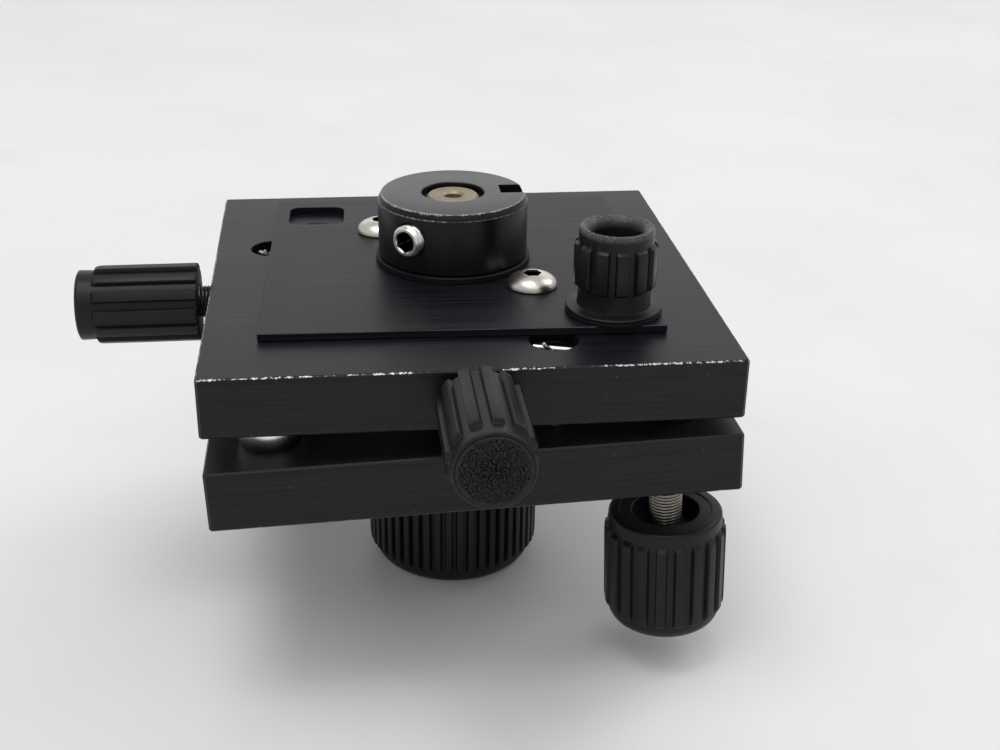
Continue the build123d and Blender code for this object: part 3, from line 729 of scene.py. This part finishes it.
def adjuster_knob_skin(top, bottom, phase):
    """An adjuster's knob: 20 ribs, a rounded closed foot and a stepped cup round the screw."""
    root = 8.5
    outline = [(0.1, bottom, 0), (6.1, bottom, 0), (6.4, bottom + 0.05, 0)]
    outline += [(r, z, 0) for r, z in arc(root - 2.2, bottom + 2.2, 2.2, -78, -8, 6)]
    outline += [(root, bottom + z, k) for z, k in ((2.4, 0.0), (2.65, 0.45), (3.0, 0.9), (3.6, 1), (9, 1))]
    outline += [(root, top - z, k) for z, k in ((3.4, 1), (2.75, 0.9), (2.4, 0.3), (2.25, 0))]
    outline += [(r, z, 0) for r, z in arc(root - 0.6, top - 0.6, 0.6, 5, 90, 5)]
    outline += [(r, top - z, 0) for r, z in ((6.9, 0), (6.8, 0.15), (6.0, 0.15), (5.2, 0.15), (5.0, 0.35),
                                             (5.0, 1.3), (4.2, 1.5), (4.1, 2.4), (M5_R + FIT, 2.4),
                                             (M5_R, 2.6))]
    outline += [(M5_R, bottom + 4, 0), (0.1, bottom + 4, 0)]
    return ribbed(outline, 20, 1.5, 0.62, 8.85, phase=phase)


def small_knob_skin(length, phase):
    """A drive knob along Z from its foot at the plate: 12 ribs, a smooth outer band, a seat for the cap."""
    root, band = 5.35, 5.33
    outline = [(M5_R, 12, 0), (M5_R, 0.2, 0), (M5_R + 0.2, 0, 0), (root - 0.2, 0, 0)]
    outline += [(root - 0.05, 0.06, 0.7)]
    outline += [(root, z, k) for z, k in ((0.18, 0.95), (0.4, 1), (1.1, 1), (length * 0.5, 1))]
    outline += [(band, length - z, k) for z, k in ((3.2, 1), (2.75, 0.85), (2.5, 0.2), (2.35, 0))]
    outline += [(5.38, length - 0.5, 0)]
    outline += [(r, z, 0) for r, z in arc(5.13, length - 0.25, 0.25, 15, 90, 3)]
    outline += [(r, length - z, 0) for r, z in ((4.98, 0), (4.9, 0.1), (4.9, 0.85), (0.1, 0.85))]
    return ribbed(outline, 12, 1.6, 0.7, 5.7, phase=phase)


def wrinkled_cap(radius, low, high, seed):
    """A crackled disc: thin winding cracks between flat bumps, fading at the rim."""
    around, inward, depth = 180, 62, 0.30
    turns = [TAU * i / around for i in range(around)]
    loops = [[(radius * math.cos(a), radius * math.sin(a), low) for a in turns]]
    for k in range(inward):
        r = radius * (1 - k / inward) + 0.02
        fade = min(1.0, (radius - r) / 0.5)
        loop = []
        for a in turns:
            x, y = r * math.cos(a), r * math.sin(a)
            crack = 1 - min(1.0, abs(noise.noise((x * 1.7 + seed, y * 1.7, 0.3))) * 3.6)
            fine = 1 - min(1.0, abs(noise.noise((x * 2.8, y * 2.8 + seed, 4.1))) * 3.6)
            loop.append((x, y, high - depth * fade * max(crack, 0.75 * fine)))
        loops.append(loop)
    return rings(loops)


piece("big_knob", big_knob(), at(0, 0, 0), "spindle", big_knob_look,
      ["spindle_knob"], 28)
piece("big_knob_grub", socket_screw(M4_R, 0, 8.0, 2.0, 2.0, 0.7), at(0, 4.1, 12, (-90, 0, 0)), "spindle",
      dark_look, ["spindle_knob_grub"])

KNOB_DROP, KNOB_LENGTH = 16.9, 18.35        # an adjuster knob's top below the tip's centre, and its length
for which, (x, y) in ADJUSTERS.items():
    place = Matrix.Translation(mid(which + "_adjuster_tip")) @ LEAN
    body = which + "_adjuster"
    phase = 0.04 if which == "front" else 0.12
    piece(which + "_knob_skin", adjuster_knob_skin(-KNOB_DROP, -KNOB_DROP - KNOB_LENGTH, phase), place, body,
          adjuster_look, [which + "_adjuster_knob"], 28)
    piece(which + "_fine_screw", thread(M5_R, -31.0, -0.3, depth=0.13), place, body, rod_look,
          [which + "_adjuster_screw"], 50)
    piece(which + "_ball_tip", ball(1.8, 40), place, which + "_tip", steel_look,
          [which + "_adjuster_tip"])
    bush = tube_between(ADJUSTER_BUSH_R, M5_R + FIT, -PLATE_T, 0, 0.2)
    piece(which + "_bush", bush, BASE @ at(x, y, 0), "base", dark_look,
          [which + "_adjuster_bush"])

# side, its axis, the turn that points Z outwards, rib phase, cap seed, gap from knob to plate, neck and head
for side, axis, turn, phase, seed, gap, neck in (("x", 0, (0, -90, 0), 3, 3, 2.1, 2.45),
                                                 ("y", 1, (90, 0, 0), -7, 9, 2.2, 3.2)):
    low, high = span(side + "_drive_knob")
    length = high[axis] - low[axis]
    foot = (high.x, STAGE.translation.y) if side == "x" else (0, high.y)
    place = at(*foot, plate_high.z + LEAD_Z, turn)
    body = side + "_drive"
    piece(side + "_knob_skin", small_knob_skin(length, math.radians(phase)), place, body,
          knob_look, [side + "_drive_knob"], 28)
    cap = wrinkled_cap(4.88, length - 0.8, length + 0.12, seed)
    piece(side + "_end_cap", cap, place, body, cap_look, [side + "_drive_cap"], 60)
    edge = STAGE @ (at(-half, 0, LEAD_Z, turn) if side == "x" else at(0, -half, LEAD_Z, turn))
    bush = tube_between(BUSH_R, M5_R + FIT, -BUSH_L, 0, 0.15)
    piece(side + "_bush", bush, edge, "stage", bronze_look, [side + "_lead_bush"])
    # the screw, along Z from the plate's side: thread, nose, neck and a head that sits in a T slot
    reach = span(side + "_drive_screw")[1][axis] - STAGE.translation[axis] + half
    shoulder = -(reach - neck + 0.05)
    rod = merged(thread(M5_R, shoulder + 8.2, gap + 12, depth=0.2),
                 lathe([(1.9, shoulder), (1.9, shoulder + 8.3)], 40),
                 lathe([(1.2, shoulder - 1.9), (1.2, shoulder + 0.1)], 32),
                 lathe([(1.95, -reach), (1.95, -reach + 1.2)], 40))
    piece(side + "_lead_screw", rod, edge, body, lead_look, [side + "_drive_screw"], 50)

# ---- lock ---------------------------------------------------------------------------------------------
KNOB_FOOT = span("lock_knob")[0].z - plate_high.z
KNOB_TOP = span("lock_knob")[1].z - plate_high.z
FLANGE_R = 7.05
NUT_FOOT = 5.6


def lock_knob_skin():
    """The lock's knob: flange, 12 short ribs, and a funnel down to the nut. It closes on itself."""
    foot, top, root, flange = KNOB_FOOT, KNOB_TOP + 0.3, 5.35, FLANGE_R
    outline = [(r, foot + z, 0) for r, z in ((M4_R, 0), (flange - 0.15, 0), (flange, 0.15), (flange, 0.4),
                                             (flange - 0.15, 0.55), (5.6, 0.6), (5.4, 0.7), (5.33, 1.0))]
    outline += [(5.33, 5.1, 0)]
    outline += [(root, z, k) for z, k in ((5.3, 0.3), (5.55, 0.9), (6.0, 1), (8, 1), (11.1, 1), (11.5, 0.85),
                                          (11.8, 0.2))]
    outline += [(5.38, 12.0, 0), (5.42, 13.2, 0), (5.36, 13.7, 0)]
    outline += [(r, top - z, 0) for r, z in ((5.15, 0.08), (4.95, 0), (4.75, 0.06), (4.1, 0.55), (3.5, 1.15),
                                             (3.35, 1.6))]
    outline += [(3.35, 9, 0), (3.62, 8.6, 0), (3.62, NUT_FOOT, 0), (M4_R, NUT_FOOT, 0)]
    points, faces = ribbed(outline + [outline[0]], 12, 1.8, 0.66, 5.7, phase=math.radians(-120.4))
    return [Vector(p) for p in points], faces[:-2]


piece("lock_knob_skin", lock_knob_skin(), LOCK, "lock", lock_look, ["lock_knob"], 28)
washer_low, washer_high = [v.z - plate_high.z for v in span("lock_washer")]
piece("lock_disc", tube_between(FLANGE_R, 2.1, washer_low, washer_high, 0.08, 96), LOCK, "lock_washer",
      dark_look, ["lock_washer"])
nut = carve(prism(6, 6.2, NUT_FOOT, 8.0, 0.2), plug(1.75, 5, 9, 32), lathe([(1.7, 7.6), (2.6, 8.5)], 32))
piece("lock_hex", nut, LOCK, "lock", dark_look, ["lock_nut"])
piece("lock_stud", thread(M4_R, -7.9, 8.7, 0.7, 0.3, 32), LOCK, "lock", rod_look,
      ["lock_screw"], 50)

# ---- ball, pins and springs ---------------------------------------------------------------------------
piece("pivot_sphere", ball(BALL_R, 72), Matrix.Translation(BALL), "pivot", ball_look,
      ["pivot_ball"])


def pins(z):
    """The two springs' pins, lying across their holes at a height."""
    reach, r = 3.0, PIN_R
    rod = lathe([(0.01, -reach), (r - 0.15, -reach), (r, 0.15 - reach), (r, reach - 0.15), (r - 0.15, reach),
                 (0.01, reach)], 20)
    lying = Matrix.Rotation(math.pi / 2, 4, "Y")
    return merged(*[(rod, at(x, y, z, (0, 0, yaw)) @ lying) for x, y, yaw in SPRINGS.values()])


UPPER_PIN, LOWER_PIN = PIN_R - SPRING_STEP, SPRING_STEP - PLATE_T - PIN_R
piece("upper_pins", pins(UPPER_PIN), STAGE, "stage", bright_look, ["upper_spring_pins"])
piece("lower_pins", pins(LOWER_PIN), BASE, "base", bright_look, ["lower_spring_pins"])


def coil(length, wire=0.3, mean=1.8):
    """Close-wound spring along Z from 0 to length, both at the pins' axes; the lower hook is in the Y-Z plane."""
    path = []
    loop = 1.4
    reach = loop - wire - PIN_R - 0.03
    for i in range(41):                       # lower hook, one and a quarter turns round the pin
        a = math.radians(90 - 450 * i / 40)
        path.append(((i - 40) / 40 * 0.5, loop * math.sin(a), reach - loop * math.cos(a)))
    low, high = reach + loop + 0.5, length - reach - loop - 0.5
    turns = int((high - low) / 0.62)
    for i in range(turns * 20 + 1):
        a = TAU * i / 20
        blend_in = min(1.0, i / 12, (turns * 20 - i) / 12)
        r = 0.9 + (mean - 0.9) * blend_in
        path.append((r * math.sin(a), r * math.cos(a), low + (high - low) * i / (turns * 20)))
    for i in range(61):                       # upper hook: straight and through the pin, a known fault
        a = math.radians(-90 + 630 * i / 60)
        out, over = 0.35 * (i / 60 - 0.5) * 2, loop * math.cos(a + math.pi / 2)
        skew = -math.radians(58) * min(1.0, i / 12)
        c, s = math.cos(skew), math.sin(skew)
        path.append((out * c - over * s, out * s + over * c, length - reach + loop * math.sin(a)))
    return sweep(path, wire, 8)


def share(data, keep):
    """The faces whose middle passes a test, as a piece of their own."""
    points, faces = data
    kept = [f for f in faces if keep(sum((Vector(points[i]) for i in f), Vector()) / len(f))]
    used = sorted({i for f in kept for i in f})
    where = {old: new for new, old in enumerate(used)}
    return [points[i] for i in used], [[where[i] for i in f] for f in kept]


for which, (x, y, yaw) in SPRINGS.items():
    top = STAGE @ Vector((x, y, UPPER_PIN))
    foot = BASE @ Vector((x, y, LOWER_PIN))
    way = (top - foot).normalized()
    side = Vector((math.cos(math.radians(yaw)), math.sin(math.radians(yaw)), 0))
    side = (side - way * side.dot(way)).normalized()
    place = Matrix.Translation(foot) @ Matrix((side, way.cross(side), way)).transposed().to_4x4()
    length = (top - foot).length
    # the spring is cut at its middle into an upper half, between the stage and the pivot, and a lower half,
    # between the pivot and the base; both stay fixed where they are made
    waist = (foot + top) / 2
    for end, keep, a, b, start, stop in (("top", lambda m: m.z >= length / 2, "pivot", "stage", waist, top),
                                         ("foot", lambda m: m.z < length / 2, "base", "pivot", foot, waist)):
        part = share(coil(length), keep)
        ob = piece(which + "_spring_" + end, part, place, None, steel_look,
                   [which + "_tilt_spring"] if end == "top" else ())
        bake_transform(ob)

# ---- camera, light, floor -----------------------------------------------------------------------------
def area(name, place, size, power):
    """A soft rectangular light aimed at the stage."""
    light = bpy.data.lights.new(name, "AREA")
    light.shape = "RECTANGLE"
    light.size, light.size_y = size
    light.energy = power
    ob = bpy.data.objects.new(name, light)
    ob.location = place
    ob.rotation_euler = (Vector((0, 0, 0.03)) - Vector(place)).to_track_quat("-Z", "Y").to_euler()
    bpy.context.scene.collection.objects.link(ob)


camera = bpy.data.objects.new("camera", bpy.data.cameras.new("camera"))
right = Vector((0.9932, -0.1153, 0.0144)).normalized()
ahead = Vector((0.11034, 0.89681, -0.42844)).normalized()
up = right.cross(ahead)
camera.matrix_world = Matrix((right, up, -ahead)).transposed().to_4x4()
camera.location = (-0.01820, -0.21166, 0.13325)
camera.data.sensor_width = 36
camera.data.lens = 51.34
camera.data.clip_start = 0.01
bpy.context.scene.collection.objects.link(camera)
bpy.context.scene.camera = camera

floor = bpy.data.meshes.new("floor")
floor.from_pydata([(-2, -1.2, 0), (2, -1.2, 0), (2, 3, 0), (-2, 3, 0)], [], [(0, 1, 2, 3)])
floor = bpy.data.objects.new("floor", floor)
floor.data.materials.append(floor_look())
bpy.context.scene.collection.objects.link(floor)

world = bpy.data.worlds.new("room")
world.use_nodes = True
world.node_tree.nodes["Background"].inputs["Color"].default_value = (0.97, 0.98, 1.0, 1)
world.node_tree.nodes["Background"].inputs["Strength"].default_value = 0.61
bpy.context.scene.world = world
area("ceiling", (-0.20, -0.06, 1.3), (0.6, 0.6), 5.0)
area("window", (0.70, 0.35, 0.75), (0.5, 0.5), 1.5)
area("wall", (0.1, 1.4, 0.62), (1.6, 0.7), 1.5)
area("front", (-0.05, -0.55, 0.9), (0.9, 0.6), 1.3)
bpy.context.scene.view_settings.view_transform = "Standard"
